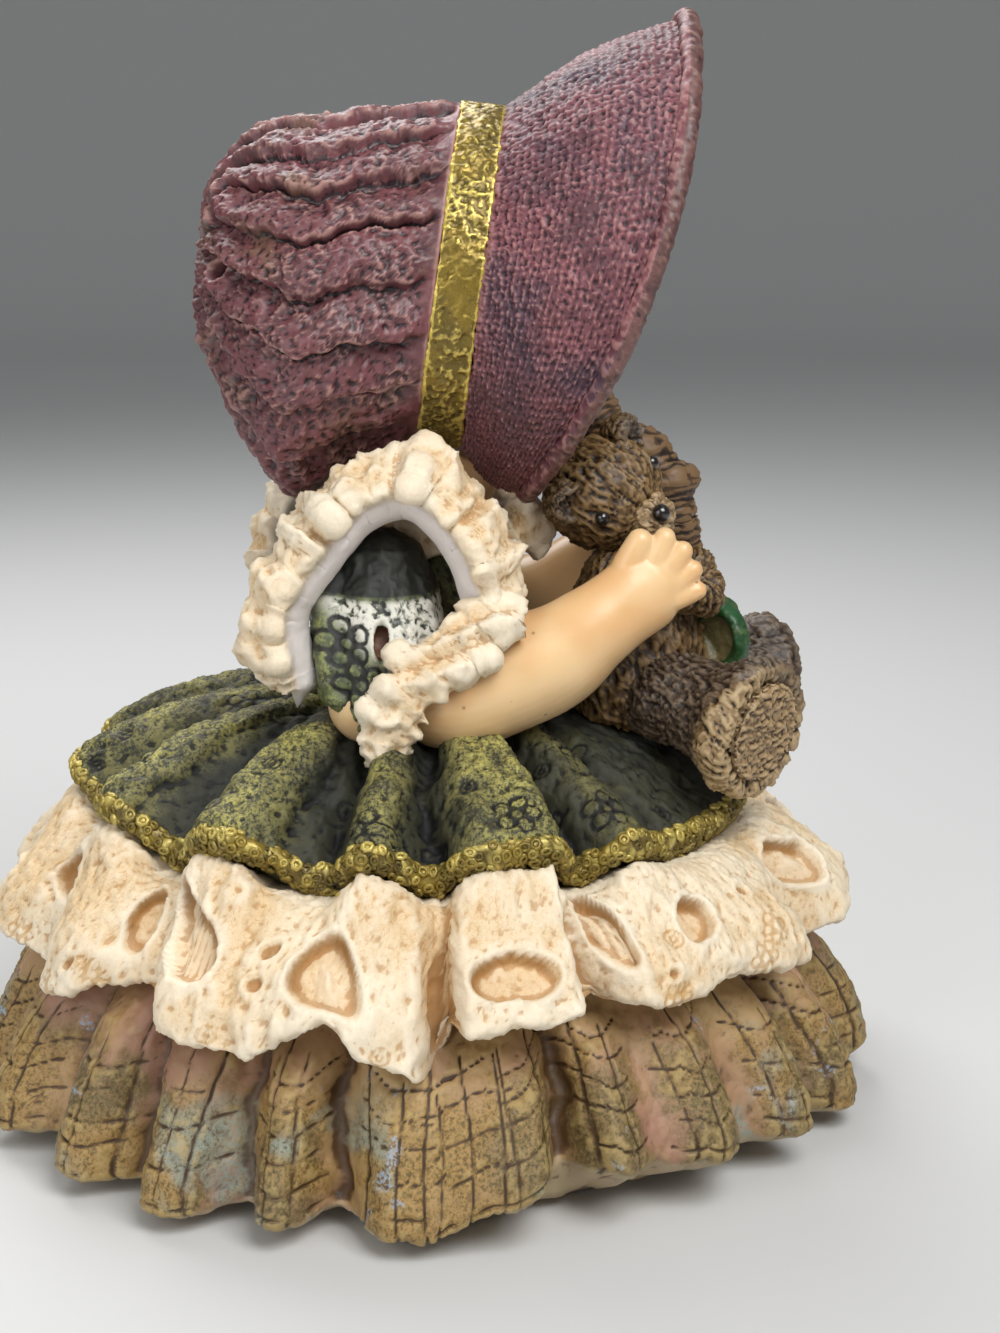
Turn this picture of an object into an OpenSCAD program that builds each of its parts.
// Figurine of a little girl in a poke bonnet and three tiered skirts, holding a small bear.
// The foot rests on z = 0, the girl faces -Y, their left side is +X, and the origin is the centre of the foot.
// Angles round the skirts start at -X and turn towards -Y.

/* [Foot and core] */
// Height of the flat foot ring under the skirts
foot_h = 1.2; // [0.8:0.1:2]
// Radius of the flat foot ring
foot_r = 42; // [38:0.5:43]
// Radius of the core that the skirts are slipped over
core_r = 30; // [26:0.5:32]
// Radius of the spigot that the overskirt is slipped over
spigot_r = 5; // [4:0.5:7]
// Glue line between the core and the skirts
glue = 0.1; // [0.05:0.05:0.2]

/* [Checked skirt] */
// Radius of the checked skirt at its hem
skirt_r = 53; // [50:0.5:56]
// Height of the checked skirt
skirt_h = 22.8; // [20:0.2:26]
// Depth of its folds at the hem
skirt_fold = 3.6; // [1:0.2:4.5]
// Most that its hem lifts off the ground
skirt_lift = 5; // [0:0.5:7]

/* [Lace flounce] */
// Radius of the lace flounce at its hem
flounce_r = 49.8; // [48:0.2:52]
// Height of the flounce where it is seated
flounce_h = 9; // [8:0.2:12]
// Depth of its folds at the hem
flounce_fold = 3.4; // [1:0.2:4]
// Length of the longest tongue of lace below its hem
flounce_tongue = 8.6; // [0:0.2:9]

/* [Overskirt] */
// Radius of the overskirt at its hem
over_r = 40.2; // [38:0.2:42]
// Height of the overskirt from the flounce to the waist
over_h = 15.5; // [13:0.5:18]
// Radius of the waist
waist_r = 9.9; // [9:0.1:11]
// Depth of its folds in height
over_fold = 5.4; // [1:0.2:6]
// Depth of its folds in radius
over_ruck = 1.6; // [0:0.2:2]
// Width of the beaded trim outside the hem
trim_w = 1.5; // [1:0.1:2]
// How far the trim reaches above and below the hem
trim_reach = 1.1; // [0.8:0.1:1.4]

/* [Torso and neck] */
// Height of the bodice from the waist to the neck
torso_h = 19; // [17:0.5:22]
// Radius of the bodice at the chest
chest_r = 12.4; // [11:0.2:13]
// How far the bodice stands behind the centre
torso_back = 1.5; // [0:0.5:3]
// Radius of the neck
neck_r = 4.4; // [3.5:0.1:5]
// Length of the neck between the bodice and the chin
neck_h = 10.6; // [10:0.2:11.4]
// Lean of the neck, top forwards
neck_lean = 25; // [20:1:28]

/* [Bonnet] */
// Height of the middle of the bonnet's band above the top of the bodice
bonnet_rise = 28.6; // [27:0.2:31]
// How far the middle of the band stands in front of the centre
bonnet_front = 4.9; // [3:0.1:7]
// Tilt of the bonnet, top forwards
bonnet_tilt = 7.8; // [4:0.2:12]
// Outer radius of the gold band
band_r = 19.8; // [18:0.2:21]
// Width of the gold band
band_w = 5; // [3:0.5:6]
// Thickness of the gold band
band_t = 1; // [0.6:0.1:1.4]
// Half width of the brim at its widest
brim_half_w = 25; // [22:0.5:28]
// Half height of the brim's rim
brim_half_h = 28.2; // [26:0.5:31]
// How far the middle of the rim stands above the middle of the band
brim_raise = 3.9; // [2:0.2:6]
// Reach of the middle of the rim in front of the band
brim_reach = 15.4; // [12:0.5:18]
// How much further the top of the rim reaches than its middle
brim_slant = 5.8; // [3:0.2:7]
// How much further the sides of the rim bow forwards
brim_bow = 4.5; // [3:0.2:7]
// How far the brim swells out between the band and the rim
brim_swell = 1.8; // [0:0.2:3]
// Wall thickness of the brim
brim_wall = 2; // [1.6:0.1:2.6]
// Radius of the rolled edge of the brim
roll_r = 1.7; // [1.2:0.1:2.2]
// Length of the crown behind the band
crown_len = 30.3; // [26:0.5:34]
// Radius of the crown where it is fullest
crown_r = 22; // [20:0.5:23]
// Depth of the crown's gathered pleats
crown_pleat = 1.2; // [0.4:0.1:1.6]

/* [Head and hair] */
// Half width of the head
head_half_w = 12.4; // [11:0.2:13]
// Half height of the head
head_half_h = 13.8; // [12.5:0.2:14]
// Half depth of the head
head_half_d = 13.2; // [12:0.2:14]
// Thickness of a curl of hair
curl_t = 4.6; // [3:0.2:5]

/* [Sleeves and ruffles] */
// Distance from the middle of the body to the top of a sleeve
sleeve_out = 14; // [13:0.2:16]
// Radius of a puffed sleeve
sleeve_r = 7.4; // [6.5:0.1:8]
// Height of the elbow above the waist
elbow_h = 2.6; // [2:0.2:5]
// Height of the shoulder above the waist
shoulder_h = 15; // [13:0.2:16]
// Size of the shoulder ruffle from its middle to its outer loop
ruffle_size = 12; // [11:0.2:13]
// Thickness of the shoulder ruffle
ruffle_t = 8; // [6:0.2:9]
// Thickness of the cuff ruffle
cuff_t = 3.2; // [2.4:0.1:3.6]
// Width of the cuff ruffle along the arm
cuff_w = 7.2; // [6:0.2:9]

// Radius of the frill round the neck
collar_r = 9.6; // [9:0.1:10]
// Thickness of the frill round the neck
collar_t = 4.4; // [3.6:0.1:5]

/* [Arms] */
// Radius of the forearm at the elbow
arm_r = 6.6; // [6:0.1:7]
// Radius of the wrist
wrist_r = 4.8; // [4:0.1:5.4]
// Distance from the elbow forwards to the wrist
forearm_reach = 27; // [24:0.5:29]
// Rise from the elbow to the wrist
forearm_rise = 9.6; // [7:0.2:12]
// Radius of a finger
finger_r = 1.6; // [1.2:0.1:1.8]
// Length of a finger
finger_len = 5.4; // [4:0.2:7]

/* [Bear] */
// Distance of the bear to the girl's right of the middle
bear_side = 4; // [2:0.2:6]
// Distance of the bear in front of the middle
bear_front = 25; // [24.5:0.1:27]
// Radius of the bear's belly
belly_r = 9; // [8:0.1:9.4]
// Height of the bear's body
bear_body_h = 21; // [19:0.5:22]
// How far the bear's body reaches below the girl's waist
bear_sink = 4; // [3:0.2:6]
// Radius of the bear's head
bear_head_r = 6.7; // [6:0.1:7.4]
// Radius of an ear
ear_r = 2.5; // [2.2:0.1:2.9]
// Radius of the muzzle
muzzle_r = 3; // [2.6:0.1:3.6]
// Radius of the nose
nose_r = 1.1; // [0.8:0.1:1.4]
// Radius of an eye
eye_r = 0.9; // [0.7:0.05:1.1]
// Length of a leg
leg_len = 19; // [17:0.2:20]
// Radius of a foot
paw_r = 8.2; // [7:0.1:8.6]
// Length of an arm
bear_arm_len = 10; // [8:0.5:12]
// Radius of an arm
bear_arm_r = 2.8; // [2.4:0.1:3.2]
// Radius of the pad under a foot
sole_r = 6.2; // [5:0.1:6.6]
// Thickness of the pad under a foot
sole_t = 1; // [0.6:0.1:1.2]
// Width of the ribbon of the bear's bow
ribbon_w = 3; // [2:0.2:4]
// Thickness of the ribbon
ribbon_t = 1; // [0.8:0.1:1.4]

/* [Hidden] */

// Clearance between pieces that are set beside each other
seat = 0.2;
// Steps round a skirt, round the brim and round a tapered tube
tier_steps = 96;
bonnet_steps = 48;
tube_steps = 8;
// Steps round the crown: one for each point of a tuck
crown_steps = 60;

// Steps round the head and the collar, angle between locks of the fringe, lobes of a sleeve
head_steps = 22;
collar_steps = 27;
fringe_turn = 15;
sleeve_lobes = 9;
// Half angle of the gap in the brim and the band, below the chin
brim_gap = 22;
// Place of the head in the bonnet's frame: in front of the middle of the band, and below it
head_ahead = 3.3;
head_drop = 2.6;
// How far the left shoulder ruffle stands behind and above the right one
left_ruffle_back = 3;
left_ruffle_up = 3;
// The bear's head: how far it sits back on its body, and its turn, nod and roll
bear_head_back = 3.5;
bear_turn = 52;
bear_nod = 14;
bear_roll = -38;
// The bear's eyes and ears from the middle of its face
eye_up = 18;
eye_out = 47;
ear_out = 55;
// The bear's legs and arms: height above its seat, and angles
leg_rise = 5.5;
leg_droop = 9;
right_leg_splay = 42;
left_leg_splay = 22;
bear_arm_splay = 8;
// Angles between which the overskirt lies smooth for the bear
lap_from = 46;
lap_to = 118;

// Heights of the stacked pieces
skirt_z = foot_h;
flounce_z = skirt_z + skirt_h;
over_z = flounce_z + flounce_h;
waist_z = over_z + over_h;
neck_z = waist_z + torso_h;
bonnet_z = neck_z + bonnet_rise;

// How far the overskirt stands out where the bear sits on it
lap_share = .25;
// Depth of the carved grooves of the checks, as a share of the fold that they cross
check_share = .22;
// Folds round each tier: an angle and how far the cloth stands out there, 0 in a valley and 1 on a ridge
skirt_fold_shares = [[-176, 1], [-168, .1], [-158, .9], [-149, .2], [-140, 1], [-130, .1], [-120, .9],
    [-111, .1], [-101, 1], [-91, .2], [-81, .9], [-72, .25], [-62, 1], [-53, .3], [-44, .9], [-37, .25],
    [-29, 1], [-21, .25], [-15, .85], [-9, .15], [-1, .9], [7, .8], [14, .9], [20, .05], [25, .75],
    [31, .5], [38, .9], [46, .35], [54, .85], [61, .2], [68, 1], [77, .2], [87, 1], [97, .1], [106, .9],
    [116, .2], [127, 1], [137, .1], [147, .9], [157, .2], [166, .8], [175, .2]];
flounce_fold_shares = [[-168, .9], [-150, .15], [-132, 1], [-116, .2], [-102, .95], [-88, .2], [-76, .9],
    [-62, .35], [-52, .7], [-38, .1], [-28, .95], [-10, .8], [0, .75], [4.5, 0], [8, 1], [19, 1],
    [24, .1], [31, .65], [45, .6], [56, .85], [68, .2], [80, .95], [96, .2], [112, .9], [130, .15],
    [148, 1], [170, .2]];
over_fold_shares = [[-172, 1], [-158, .15], [-140, .9], [-126, .1], [-108, 1], [-96, .35], [-82, .95],
    [-68, .15], [-57, 1], [-42, 0], [-31, 1], [-14, .05], [-6, .8], [3, .15], [12, .85], [20, .95],
    [28, .1], [36, .5], [lap_from, lap_share], [lap_to, lap_share], [128, .6], [138, .1], [150, .9], [170, .2]];
// Lift of the hem of the checked skirt and drop of the lace below its hem, as shares of the most
skirt_lift_shares = [[-170, .5], [-140, .1], [-110, .6], [-74, .05], [-50, .25], [-37, .05], [-12, .2],
    [2, .05], [9, .6], [16, 1], [24, 1], [36, .85], [53, .5], [72, .1], [90, .5], [112, .1], [135, .6],
    [160, .1]];
flounce_drop_shares = [[-168, .5], [-140, .2], [-118, .7], [-96, .3], [-78, .4], [-56, .75], [-40, .4],
    [-33, .6], [-20, .75], [-10, .25], [-3, .75], [3, 1], [6, .4], [12, .3], [22, .3], [27, .3],
    [34, .4], [44, .25], [56, .4], [68, .6], [84, .2], [104, .6], [124, .2], [148, .6]];
// Section of each tier: share of the way out, share of the height, share of the fold, share of the lift
skirt_section_shares = [[0, 0, 0, 0], [.62, 0, 0, 0], [.955, .01, .9, .9], [1, .06, 1, 1],
    [.93, .31, .95, .7], [.74, .66, .6, .2], [.5, .88, .2, 0], [.37, 1, 0, 0], [0, 1, 0, 0]];
flounce_section_shares = [[0, 0, 0, 0], [.46, 0, 0, 0], [.88, .15, .6, .75], [.955, .22, 1, 1],
    [1, .38, 1, 1], [.9, .64, .9, .5], [.67, .9, .5, .1], [.42, 1, 0, 0], [0, 1, 0, 0]];
over_section_shares = [[0, 0, 0, 0], [.87, 0, 0, 0], [.965, .06, .9, .75], [1, .17, 1, 1],
    [.87, .37, .8, .95], [.63, .66, .4, .7], [.4, .87, .1, .35], [.2, .975, 0, .05]];

function mix(a, b, t) = a + (b - a) * t;
function unit(v) = v / norm(v);

// Height of a wavy line at an angle, from a closed list of angles and shares
function wave(shares, angle) = let (
    n = len(shares),
    a = angle < shares[0][0] ? angle + 360 : angle,
    i = max([for (k = [0 : n - 1]) if (shares[k][0] <= a) k]),
    p = shares[i],
    q = i == n - 1 ? [shares[0][0] + 360, shares[0][1]] : shares[i + 1],
    t = (1 - cos(180 * (a - p[0]) / (q[0] - p[0]))) / 2
) mix(p[1], q[1], t);

// Point of an open or closed smooth line through a list of points
function bend(a, b, c, d, t) = (b * 2 + (c - a) * t + (a * 2 - b * 5 + c * 4 - d) * t * t
    + (b * 3 - a - c * 3 + d) * t * t * t) / 2;
function smooth(points, per, loop = false) = let (n = len(points), last = loop ? n : n - 1) [
    for (i = [0 : last - 1], k = [0 : per - 1]) bend(
        points[loop ? (i + n - 1) % n : max(i - 1, 0)], points[i],
        points[loop ? (i + 1) % n : i + 1], points[loop ? (i + 2) % n : min(i + 2, n - 1)], k / per),
    if (!loop) points[n - 1]];

// Solid through a list of closed sections with equal numbers of points
module loft(rings, loop = false, swap = false) {
    m = len(rings);
    n = len(rings[0]);
    sides = [for (i = [0 : loop ? m - 1 : m - 2], j = [0 : n - 1]) let (
        a = i * n + j,
        b = i * n + (j + 1) % n,
        c = ((i + 1) % m) * n + (j + 1) % n,
        d = ((i + 1) % m) * n + j
    ) each swap ? [[a, b, d], [b, c, d]] : [[a, b, c], [a, c, d]]];
    starts = loop ? [] : [for (j = [0 : n / 2 - 2]) each [[n - 2 - j, j + 1, j], [n - 1 - j, n - 2 - j, j]]];
    ends = [for (f = starts) [for (k = [2, 1, 0]) f[k] + (m - 1) * n]];
    polyhedron(points = [for (r = rings) each r], faces = concat(sides, starts, ends));
}

// Sections along a line: half widths across and along a reference direction at each point
function tube_rings(path, across, along, refs) = let (m = len(path)) [
    for (i = [0 : m - 1]) let (
        t = unit(path[min(i + 1, m - 1)] - path[max(i - 1, 0)]),
        s = unit(cross(refs[i], t)),
        u = cross(t, s)
    ) [for (k = [0 : tube_steps - 1]) path[i] + s * across[i] * cos(360 * k / tube_steps)
        - u * along[i] * sin(360 * k / tube_steps)]];

// Sections of a tier of cloth round the core
function tier_section(shares, r_in, r_out, z_in, height, fold, ruck, lift) = [for (p = shares)
    [mix(r_in, r_out, p[0]) + ruck * p[2] * (fold - 1 / 2), z_in + height * p[1] + lift * p[3]]];
function turn(section, angle) = [for (p = section) [-p[0] * cos(angle), -p[0] * sin(angle), p[1]]];
function tier_angle(i) = -180 + 360 * i / tier_steps;

function skirt_ring(a, ridge) = turn(tier_section(skirt_section_shares, core_r + glue, skirt_r, skirt_z, skirt_h,
    ridge * wave(skirt_fold_shares, a), skirt_fold, skirt_lift * wave(skirt_lift_shares, a)), a);
function flounce_ring(a) = turn(tier_section(flounce_section_shares, core_r + glue, flounce_r, flounce_z,
    flounce_h, wave(flounce_fold_shares, a), flounce_fold, -flounce_tongue * wave(flounce_drop_shares, a)), a);
function over_section(a) = let (w = wave(over_fold_shares, a), s = tier_section(over_section_shares,
    spigot_r + glue, over_r, over_z, over_h, w, over_ruck, over_fold * w))
    concat(s, [[waist_r, waist_z], [spigot_r + glue, waist_z]]);
function trim_section(a, bead) = let (s = over_section(a), low = s[2], hem = s[3], out = trim_w * bead)
    [hem, low, low + [out / 2, -trim_reach / 2], hem + [out, -trim_reach / 2], hem + [out / 2, trim_reach]];

module core() {
    color("tan") rotate_extrude($fn = 96) polygon([[0, 0], [foot_r - foot_h / 2, 0], [foot_r, foot_h / 2],
        [foot_r, foot_h], [core_r, foot_h], [core_r, over_z], [spigot_r, over_z], [spigot_r, waist_z],
        [0, waist_z]]);
}

module checked_skirt() {
    color("burlywood") loft([for (i = [0 : tier_steps - 1])
        skirt_ring(tier_angle(i), i % 2 == 0 ? 1 : 1 - check_share)], loop = true);
}

module lace_flounce() {
    color("antiquewhite") loft([for (i = [0 : tier_steps - 1]) flounce_ring(tier_angle(i))], loop = true);
}

module overskirt_shape() {
    loft([for (i = [0 : tier_steps - 1]) turn(over_section(tier_angle(i)), tier_angle(i))], loop = true);
}

module overskirt() {
    color("darkslategray") overskirt_shape();
}

module beaded_trim() {
    color("darkgoldenrod") loft([for (i = [0 : tier_steps - 1])
        turn(trim_section(tier_angle(i), i % 2 == 0 ? 1 : 3 / 4), tier_angle(i))], loop = true, swap = true);
}

// Outline of the bodice: share of the chest's radius, share of its height
bodice_shares = [[.78, 0], [.84, .18], [.96, .4], [1, .56], [.96, .72], [.84, .86], [.64, .95], [.46, 1]];

module bodice_shape() {
    translate([0, torso_back, waist_z]) rotate_extrude($fn = 64) polygon(concat([[0, 0]],
        [for (p = bodice_shares) [chest_r * p[0], torso_h * p[1]]], [[0, torso_h]]));
}

module bodice() {
    color("darkslategray") bodice_shape();
}

module neck_shape() {
    translate([0, -neck_r / 3, neck_z - neck_r / 3]) rotate([neck_lean, 0, 0])
        cylinder(r = neck_r, h = neck_h, $fn = 32);
}

module neck() {
    color("wheat") difference() {
        neck_shape();
        bodice_shape();
        crown_shape();
    }
}

// The bonnet's own frame: -Y is the way it faces and the origin is the middle of its band
module at_bonnet() {
    translate([0, -bonnet_front, bonnet_z]) rotate([bonnet_tilt, 0, 0]) children();
}

// Section of a tuck of the crown from top to bottom: depth below its edge as a share of the pleats' depth
tuck_shares = [1, .45, 0];

// Crown behind the band: share of its length, radius and sag as shares of the crown's radius, share of the pleats
crown_shares = [[.24, .95, .11, .6], [.5, 1, .23, 1], [.72, .83, .14, 1], [.86, .62, .05, .9],
    [.96, .38, .03, .6], [1, .1, .02, 0]];

function crown_ring(y, r, sag, pleat) = [for (k = [0 : crown_steps - 1]) let (
    a = -360 * k / crown_steps,
    q = r - pleat * tuck_shares[min(k, crown_steps - k) % len(tuck_shares)]
) [q * sin(a), y, q * cos(a) - sag]];

module crown_shape() {
    at_bonnet() loft(concat(
        [crown_ring(0, band_r - band_t, 0, 0), crown_ring(band_w / 2, band_r - band_t, 0, 0),
            crown_ring(band_w / 2, band_r, 0, 0)],
        [for (p = crown_shares) crown_ring(mix(band_w / 2, crown_len, p[0]), crown_r * p[1],
            crown_r * p[2], crown_pleat * p[3])]));
}

module bonnet_crown() {
    color("maroon") crown_shape();
}

module bonnet_band() {
    color("goldenrod") at_bonnet() rotate([90, 0, 0]) rotate([0, 0, brim_gap - 90])
        rotate_extrude(angle = 360 - 2 * brim_gap, $fn = 64)
        translate([band_r - band_t, -band_w / 2]) square([band_t, band_w]);
}

// Point of the brim at an angle from its top: share of the way to the rim, outwards, forwards
function rim_point(a) = [brim_half_w * sin(a), -brim_reach - brim_slant * cos(a) - brim_bow * pow(sin(a), 2),
    brim_raise + brim_half_h * cos(a)];
function brim_point(a, t, out, ahead) = let (radial = [sin(a), 0, cos(a)])
    mix(radial * band_r - [0, band_w / 2, 0], rim_point(a), t)
    + radial * (out + brim_swell * sin(180 * t)) - [0, ahead, 0];
function brim_ring(a) = let (radial = [sin(a), 0, cos(a)], r = band_r - band_t, half = [0, band_w / 2, 0]) [
    radial * r, radial * r - half, radial * band_r - half, brim_point(a, 1 / 2, 0, 0),
    brim_point(a, 1, roll_r, -roll_r), brim_point(a, 1, roll_r / 2, roll_r / 2),
    brim_point(a, 1, -roll_r, roll_r / 2), brim_point(a, 1, -roll_r - brim_wall / 2, -roll_r),
    brim_point(a, 1 / 2, -brim_wall, 0), radial * (band_r - brim_wall) - half,
    radial * (r - brim_wall) - half, radial * (r - brim_wall)];

module bonnet_brim() {
    last = bonnet_steps - 6;
    color("maroon") at_bonnet() loft([for (k = [0 : last])
        brim_ring(mix(180 - brim_gap, brim_gap - 180, k / last))]);
}

// Bumps of the plain doll's face: height as a share of the half depth, latitude, longitude, spread of each
face_shares = [[.13, -6, 0, 9, 8], [.05, -24, 34, 16, 16], [.05, -24, -34, 16, 16], [-.06, 6, 20, 10, 12],
    [-.06, 6, -20, 10, 12], [.06, -50, 0, 12, 18], [.03, -28, 0, 7, 12]];
head_latitudes = [-86, -68, -54, -42, -32, -22, -12, -4, 6, 18, 34, 50, 68, 86];

// Point on or above the head at a latitude and a longitude from the nose
function head_point(lat, lon, out) = let (
    bump = head_half_d * sum([for (f = face_shares)
        f[0] * exp(-pow((lat - f[1]) / f[3], 2) - pow((lon - f[2]) / f[4], 2))]),
    jaw = 1 - max(0, -sin(lat)) / 6,
    d = [head_half_w * jaw * cos(lat) * sin(lon), -head_half_d * cos(lat) * cos(lon), head_half_h * sin(lat)],
    p = d * (1 + (bump + out) / norm(d)) - [0, head_ahead, head_drop]
) [p[0], min(p[1], 0), p[2]];
function sum(v, i = 0) = i == len(v) ? 0 : v[i] + sum(v, i + 1);

module head() {
    color("wheat") at_bonnet() loft([for (lat = head_latitudes) [for (k = [0 : head_steps - 1]) let (
        s = 1 - 2 * k / head_steps) head_point(lat, 180 * sign(s) * pow(abs(s), 4 / 3), 0)]]);
}

// Section of the hair over the forehead: latitude, and height above the head as a share of a curl's thickness
fringe_shares = [[36, .45], [58, .62], [84, .4], [80, 0], [56, 0], [34, 0]];
// Clearance under that hair, as a share of a curl's thickness
under_share = .09;

module hair_fringe() {
    color("sienna") at_bonnet() loft([for (i = [-5 : 5]) let (end = abs(i) == 5 ? 1 / 2 : 1)
        [for (q = fringe_shares) head_point(q[0] - abs(i) * 2 + (i % 2 == 0 ? 0 : 2), i * fringe_turn,
            curl_t * (under_share + q[1] * end))]]);
}

// Curls of hair in the bonnet's frame, from the flat front of the crown: places as shares of the head's half width,
// thickness as a share of a curl's
right_curl_shares = [[-1.1, -.03, .16, .45], [-1.2, -.55, -.1, .7], [-1.1, -.85, -.6, .9], [-.9, -.85, -1.05, .9],
    [-.72, -.75, -1.35, .5]];
left_curl_shares = [[1.1, -.03, .16, .45], [1.2, -.75, -.4, .8], [1.05, -1.35, -1.15, 1], [.8, -1.85, -1.5, 1.25],
    [.67, -2.2, -1.75, 1.4], [.64, -2.3, -2.1, 1], [.64, -2.55, -2.4, .7]];

module curl(shares) {
    line = smooth(shares, 3);
    across = [for (i = [0 : len(line) - 1]) curl_t / 2 * line[i][3] * (i % 2 == 0 ? 1 : 9 / 10)];
    color("sienna") at_bonnet() loft(tube_rings([for (p = line) head_half_w * [p[0], p[1], p[2]] - [0, seat, 0]],
        across, across, [for (p = line) [0, 0, 1]]));
}

module hair_right() {
    curl(right_curl_shares);
}

module hair_left() {
    curl(left_curl_shares);
}

function shoulder(side) = [side * sleeve_out, torso_back + sleeve_r / 3, waist_z + shoulder_h];
function elbow(side) = [side * (sleeve_out + sleeve_r * 3 / 5), torso_back + sleeve_r / 4, waist_z + elbow_h];
function wrist(side) = elbow(side) + [0, -forearm_reach, forearm_rise];
function palm(side) = wrist(side) + wrist_r * [-side / 2, -1, 1];

// Gathered puff: lobes round the line from the shoulder to the elbow
module sleeve_shape(side) {
    a = shoulder(side);
    b = elbow(side);
    lobe = sleeve_r * 2 / 5;
    hull() {
        translate(a) sphere(sleeve_r - lobe / 2, $fn = 10);
        translate(b) sphere(sleeve_r - lobe / 2, $fn = 10);
    }
    for (k = [0 : sleeve_lobes - 1]) let (
        turn = 360 * k / sleeve_lobes,
        out = [cos(turn), sin(turn), 0] * (sleeve_r - lobe)
    ) hull() {
        translate(a + out * 4 / 5) sphere(lobe, $fn = 6);
        translate((a + b) / 2 + out) sphere(lobe, $fn = 6);
        translate(b + out * 4 / 5) sphere(lobe, $fn = 6);
    }
}

module sleeve(side) {
    color("darkslategray") difference() {
        sleeve_shape(side);
        bodice_shape();
        overskirt_shape();
    }
}

module right_sleeve() {
    sleeve(-1);
}

module left_sleeve() {
    sleeve(1);
}

// Mid line of a shoulder ruffle, from the back of the arm over the shoulder to the front:
// back, up, outwards and thickness, as shares of the ruffle's size and of its thickness
ruffle_shares = [[.86, -.83, 0, .8], [.95, -.15, .1, 1.05], [.64, .38, .1, 1.1], [.2, .86, 0, 1.1],
    [-.36, .98, 0, 1], [-.85, .54, .1, 1.1], [-1.08, -.1, .1, .9]];

module ruffle_shape(side) {
    line = smooth(ruffle_shares, 4);
    n = len(line);
    back = side > 0 ? left_ruffle_back : 0;
    up = side > 0 ? left_ruffle_up : 0;
    mid = shoulder(side) + [side * ruffle_size / 3, back, up - ruffle_size / 12];
    path = [for (p = line) mid + ruffle_size * [side * p[2], p[0], p[1]]];
    half = [for (i = [0 : n - 1]) ruffle_t / 2 * line[i][3] * (i % 2 == 0 ? 1 : 4 / 5)];
    loft(tube_rings(path, half, half * 6 / 5, [for (p = path) [1, 0, 0]]));
}

module ruffle(side) {
    color("antiquewhite") difference() {
        ruffle_shape(side);
        sleeve_shape(side);
        bodice_shape();
        arm_shape(side);
        cuff_shape(side);
    }
}

module right_shoulder_ruffle() {
    ruffle(-1);
}

module left_shoulder_ruffle() {
    ruffle(1);
}

// Frill round the neck, on the shoulders
module collar_ruffle() {
    color("antiquewhite") difference() {
        translate([0, -neck_r * 3 / 4, neck_z + collar_t / 8]) loft([for (i = [0 : collar_steps - 1]) let (
            a = 360 * i / collar_steps,
            r = collar_r + collar_t / 8 * (i % 3 - 1),
            up = collar_t / 6 * (i % 3 == 1 ? 1 : -1)
        ) [for (k = [0 : tube_steps - 1]) let (b = 360 * k / tube_steps, q = r + collar_t / 2 * cos(b))
            [-q * cos(a), -q * sin(a), up + collar_t / 2 * sin(b)]]], loop = true, swap = true);
        bodice_shape();
        neck_shape();
        sleeve_shape(-1);
        sleeve_shape(1);
    }
}

// Line of a cuff ruffle across the outer side of the arm: share of the way to the wrist,
// angle from the outer side up round the arm, and thickness as a share
cuff_shares = [[-.05, -46, .62], [-.03, -24, .85], [.03, 0, 1], [.2, 22, 1.05], [.41, 44, 1], [.55, 62, .9],
    [.54, 88, .6]];

module cuff_shape(side) {
    line = smooth(cuff_shares, 4);
    d = unit(wrist(side) - elbow(side));
    up = unit(cross(d, [1, 0, 0]));
    refs = [for (p = line) [side * cos(p[1]), 0, 0] + up * sin(p[1])];
    path = [for (i = [0 : len(line) - 1]) mix(elbow(side), wrist(side), line[i][0]) - [0, 0, arm_r / 4]
        + refs[i] * (arm_r + seat + cuff_t / 3)];
    half = [for (i = [0 : len(line) - 1]) cuff_t / 2 * line[i][2] * (i % 2 == 0 ? 1 : 3 / 4)];
    loft(tube_rings(path, half * cuff_w / cuff_t, half, refs));
}

module cuff(side) {
    color("antiquewhite") difference() {
        cuff_shape(side);
        sleeve_shape(side);
        bodice_shape();
        arm_shape(side);
        overskirt_shape();
    }
}

module right_cuff_ruffle() {
    cuff(-1);
}

module left_cuff_ruffle() {
    cuff(1);
}

// Forearm: share of the way to the wrist, share of the elbow's radius, sag as a share of it
forearm_shares = [[.1, .8, .1], [.3, 1.04, .36], [.65, .94, .38]];
// Finger tips from the palm: forwards, up and inwards as shares of a finger's length, the thumb first
finger_shares = [[.4, .6, .35], [-.05, .66, .5], [-.42, .42, .55], [-.64, .02, .55], [-.62, -.45, .5]];

module arm_shape(side) {
    a = elbow(side);
    b = wrist(side);
    hand = palm(side);
    stations = concat([for (p = forearm_shares) [mix(a, b, p[0]) - [0, 0, arm_r * p[2]], arm_r * p[1]]], [[b, wrist_r]],
        [[hand, wrist_r * 11 / 10]]);
    for (i = [0 : len(stations) - 2]) hull() {
        translate(stations[i][0]) sphere(stations[i][1], $fn = 12);
        translate(stations[i + 1][0]) sphere(stations[i + 1][1], $fn = 12);
    }
    for (p = finger_shares) hull() {
        translate(hand + finger_len / 4 * [0, p[0], p[1]]) sphere(finger_r * 6 / 5, $fn = 6);
        translate(hand + finger_len * [-side * p[2], p[0], p[1]]) sphere(finger_r, $fn = 6);
    }
}

module arm(side) {
    color("wheat") difference() {
        arm_shape(side);
        sleeve_shape(side);
        bodice_shape();
        overskirt_shape();
        bear_body_shape();
        bear_head_shape();
        bear_face_shape();
        bear_limb_shape(-1);
        bear_limb_shape(1);
    }
}

module right_arm() {
    arm(-1);
}

module left_arm() {
    arm(1);
}

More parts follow.
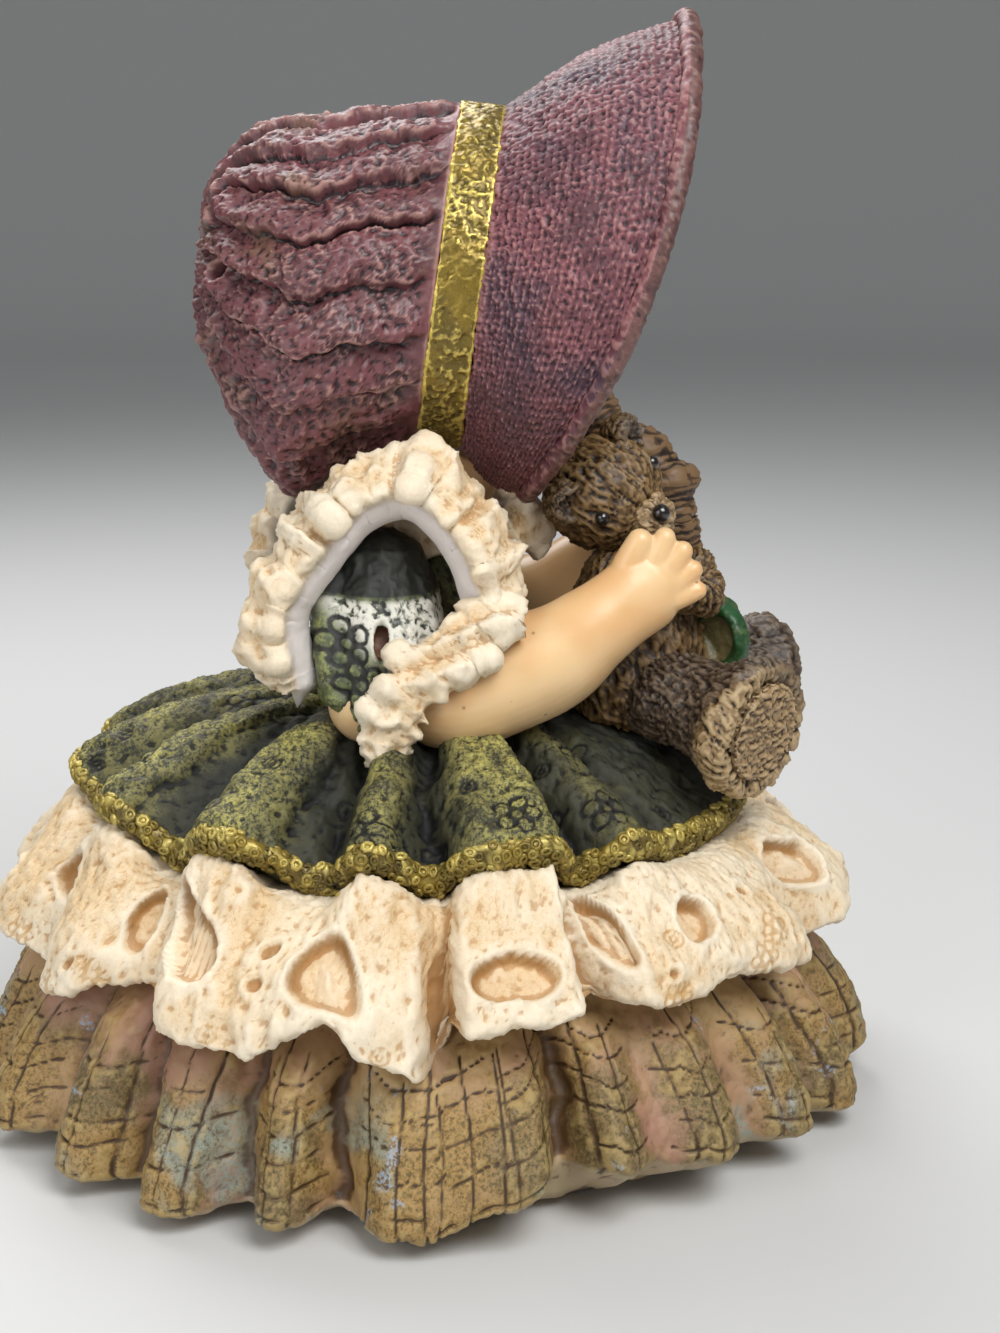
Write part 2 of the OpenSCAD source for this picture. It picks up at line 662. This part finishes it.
// The bear
bear_z = waist_z - bear_sink;
bear_top_z = bear_z + bear_body_h;
bear_head_mid = [-bear_side, bear_head_back - bear_front, bear_top_z + bear_head_r * 19 / 20];
bear_body_shares = [[.6, 0], [.86, .08], [.98, .22], [1, .36], [.93, .55], [.78, .72], [.6, .88], [.42, 1]];
leg_shares = [[0, 0], [.4, .03], [.62, .12], [.66, .3], [.64, .5], [.7, .68], [.9, .81], [1, .9], [.93, 1]];
bear_arm_shares = [[0, 0], [.6, .06], [.95, .2], [.85, .5], [.9, .72], [1, .84], [.8, .95], [.4, 1]];

// The lap that the bear sits on: the overskirt and its trim between the bear's legs, raised by a clearance
module lap_shape() {
    a = (lap_from + lap_to) / 2;
    s = over_section(a);
    r = s[3][0] + trim_w + seat;
    rotate_extrude($fn = 72) polygon(concat([[0, over_z], [r, over_z], [r, s[3][1] + trim_reach + seat]],
        [for (i = [4 : len(s) - 2]) s[i] + [seat, seat]], [[0, waist_z + seat]]));
}

module bear_body_shape() {
    translate([-bear_side, -bear_front, bear_z]) rotate_extrude($fn = 48) polygon(concat([[0, 0]],
        [for (p = bear_body_shares) [belly_r * p[0], bear_body_h * p[1]]], [[0, bear_body_h]]));
}

module bear_head_shape() {
    translate(bear_head_mid) sphere(bear_head_r, $fn = 48);
}

module at_bear_head() {
    translate(bear_head_mid) rotate([0, 0, -bear_turn]) rotate([bear_nod, bear_roll, 0]) children();
}

// A leg or an arm: swells and tapers along its length
module limb(length, r, shares) {
    rotate_extrude($fn = 32) polygon(concat([for (p = shares) [r * p[0], length * p[1]]], [[0, length]]));
}

module at_leg(side) {
    translate([-bear_side + side * belly_r / 3, -bear_front, bear_z + leg_rise])
        rotate([90 + leg_droop, 0, side > 0 ? left_leg_splay : -right_leg_splay]) children();
}

module bear_leg_shape(side) {
    at_leg(side) limb(leg_len, paw_r, leg_shares);
}

module bear_limb_shape(side) {
    translate([-bear_side + side * belly_r * 3 / 5, -bear_front, bear_top_z - bear_arm_r * 3 / 2])
        rotate([90, 0, side * bear_arm_splay]) limb(bear_arm_len, bear_arm_r, bear_arm_shares);
}

module bear_body() {
    color("saddlebrown") difference() {
        bear_body_shape();
        lap_shape();
    }
}

module bear_head() {
    color("saddlebrown") difference() {
        bear_head_shape();
        bear_body_shape();
    }
}

function muzzle_mid() = [0, -bear_head_r * 19 / 20, -bear_head_r / 4];

function nose_mid() = muzzle_mid() + muzzle_r * [0, -4 / 5, 3 / 5];

module bear_face_shape() {
    at_bear_head() {
        translate(muzzle_mid()) sphere(muzzle_r, $fn = 32);
        translate(nose_mid()) sphere(nose_r, $fn = 24);
    }
}

module bear_muzzle() {
    color("peru") at_bear_head() difference() {
        translate(muzzle_mid()) sphere(muzzle_r, $fn = 32);
        sphere(bear_head_r, $fn = 48);
    }
}

module bear_nose() {
    color("black") at_bear_head() difference() {
        translate(nose_mid()) sphere(nose_r, $fn = 24);
        translate(muzzle_mid()) sphere(muzzle_r, $fn = 32);
    }
}

module bear_eyes() {
    color("black") at_bear_head() for (side = [-1, 1]) difference() {
        rotate([-eye_up, 0, side * eye_out]) translate([0, -bear_head_r, 0]) sphere(eye_r, $fn = 20);
        sphere(bear_head_r, $fn = 48);
    }
}

module bear_ear(side) {
    color("saddlebrown") at_bear_head() rotate([0, side * ear_out, 0]) difference() {
        translate([0, 0, bear_head_r]) sphere(ear_r, $fn = 28);
        translate([0, -ear_r, bear_head_r + ear_r / 3]) sphere(ear_r * 4 / 5, $fn = 28);
        sphere(bear_head_r, $fn = 48);
    }
}

module bear_right_ear() {
    bear_ear(-1);
}

module bear_left_ear() {
    bear_ear(1);
}

module bear_arm(side) {
    color("saddlebrown") difference() {
        bear_limb_shape(side);
        bear_body_shape();
        bear_head_shape();
        bear_face_shape();
    }
}

module bear_right_arm() {
    bear_arm(-1);
}

module bear_left_arm() {
    bear_arm(1);
}

module bear_leg(side) {
    color("saddlebrown") difference() {
        bear_leg_shape(side);
        bear_body_shape();
        lap_shape();
        at_leg(side) translate([0, 0, leg_len - sole_t / 2]) cylinder(r = sole_r + glue, h = sole_t, $fn = 32);
    }
}

module bear_right_leg() {
    bear_leg(-1);
}

module bear_left_leg() {
    bear_leg(1);
}

module bear_sole(side) {
    color("tan") at_leg(side) translate([0, 0, leg_len - sole_t / 2]) cylinder(r = sole_r, h = sole_t, $fn = 32);
}

module bear_right_sole() {
    bear_sole(-1);
}

module bear_left_sole() {
    bear_sole(1);
}

// One loop of the bow: outwards, forwards and up, as shares of the belly's radius
bow_shares = [[0, 0, 0], [.3, .3, .12], [.62, .66, -.1], [.66, .7, -.5], [.34, .42, -.42], [0, 0, 0]];

module bear_bow() {
    knot = [-bear_side, -bear_front - belly_r * 4 / 5, bear_top_z - bear_body_h * 2 / 5];
    color("darkgreen") difference() {
        for (side = [-1, 1], i = [0 : len(bow_shares) - 2]) hull() for (j = [0, 1], up = [0, ribbon_w])
            let (p = bow_shares[i + j]) translate(knot + belly_r * [side * p[0], -p[1], p[2]] + [0, 0, up])
            sphere(ribbon_t / 2, $fn = 6);
        bear_body_shape();
        bear_leg_shape(-1);
        bear_leg_shape(1);
        bear_limb_shape(-1);
        bear_limb_shape(1);
    }
}

core();
checked_skirt();
lace_flounce();
overskirt();
beaded_trim();
bodice();
neck();
head();
hair_fringe();
hair_right();
hair_left();
collar_ruffle();
bonnet_crown();
bonnet_band();
bonnet_brim();
right_sleeve();
left_sleeve();
right_shoulder_ruffle();
left_shoulder_ruffle();
right_cuff_ruffle();
left_cuff_ruffle();
right_arm();
left_arm();
bear_body();
bear_head();
bear_muzzle();
bear_nose();
bear_eyes();
bear_right_ear();
bear_left_ear();
bear_right_arm();
bear_left_arm();
bear_right_leg();
bear_left_leg();
bear_right_sole();
bear_left_sole();
bear_bow();
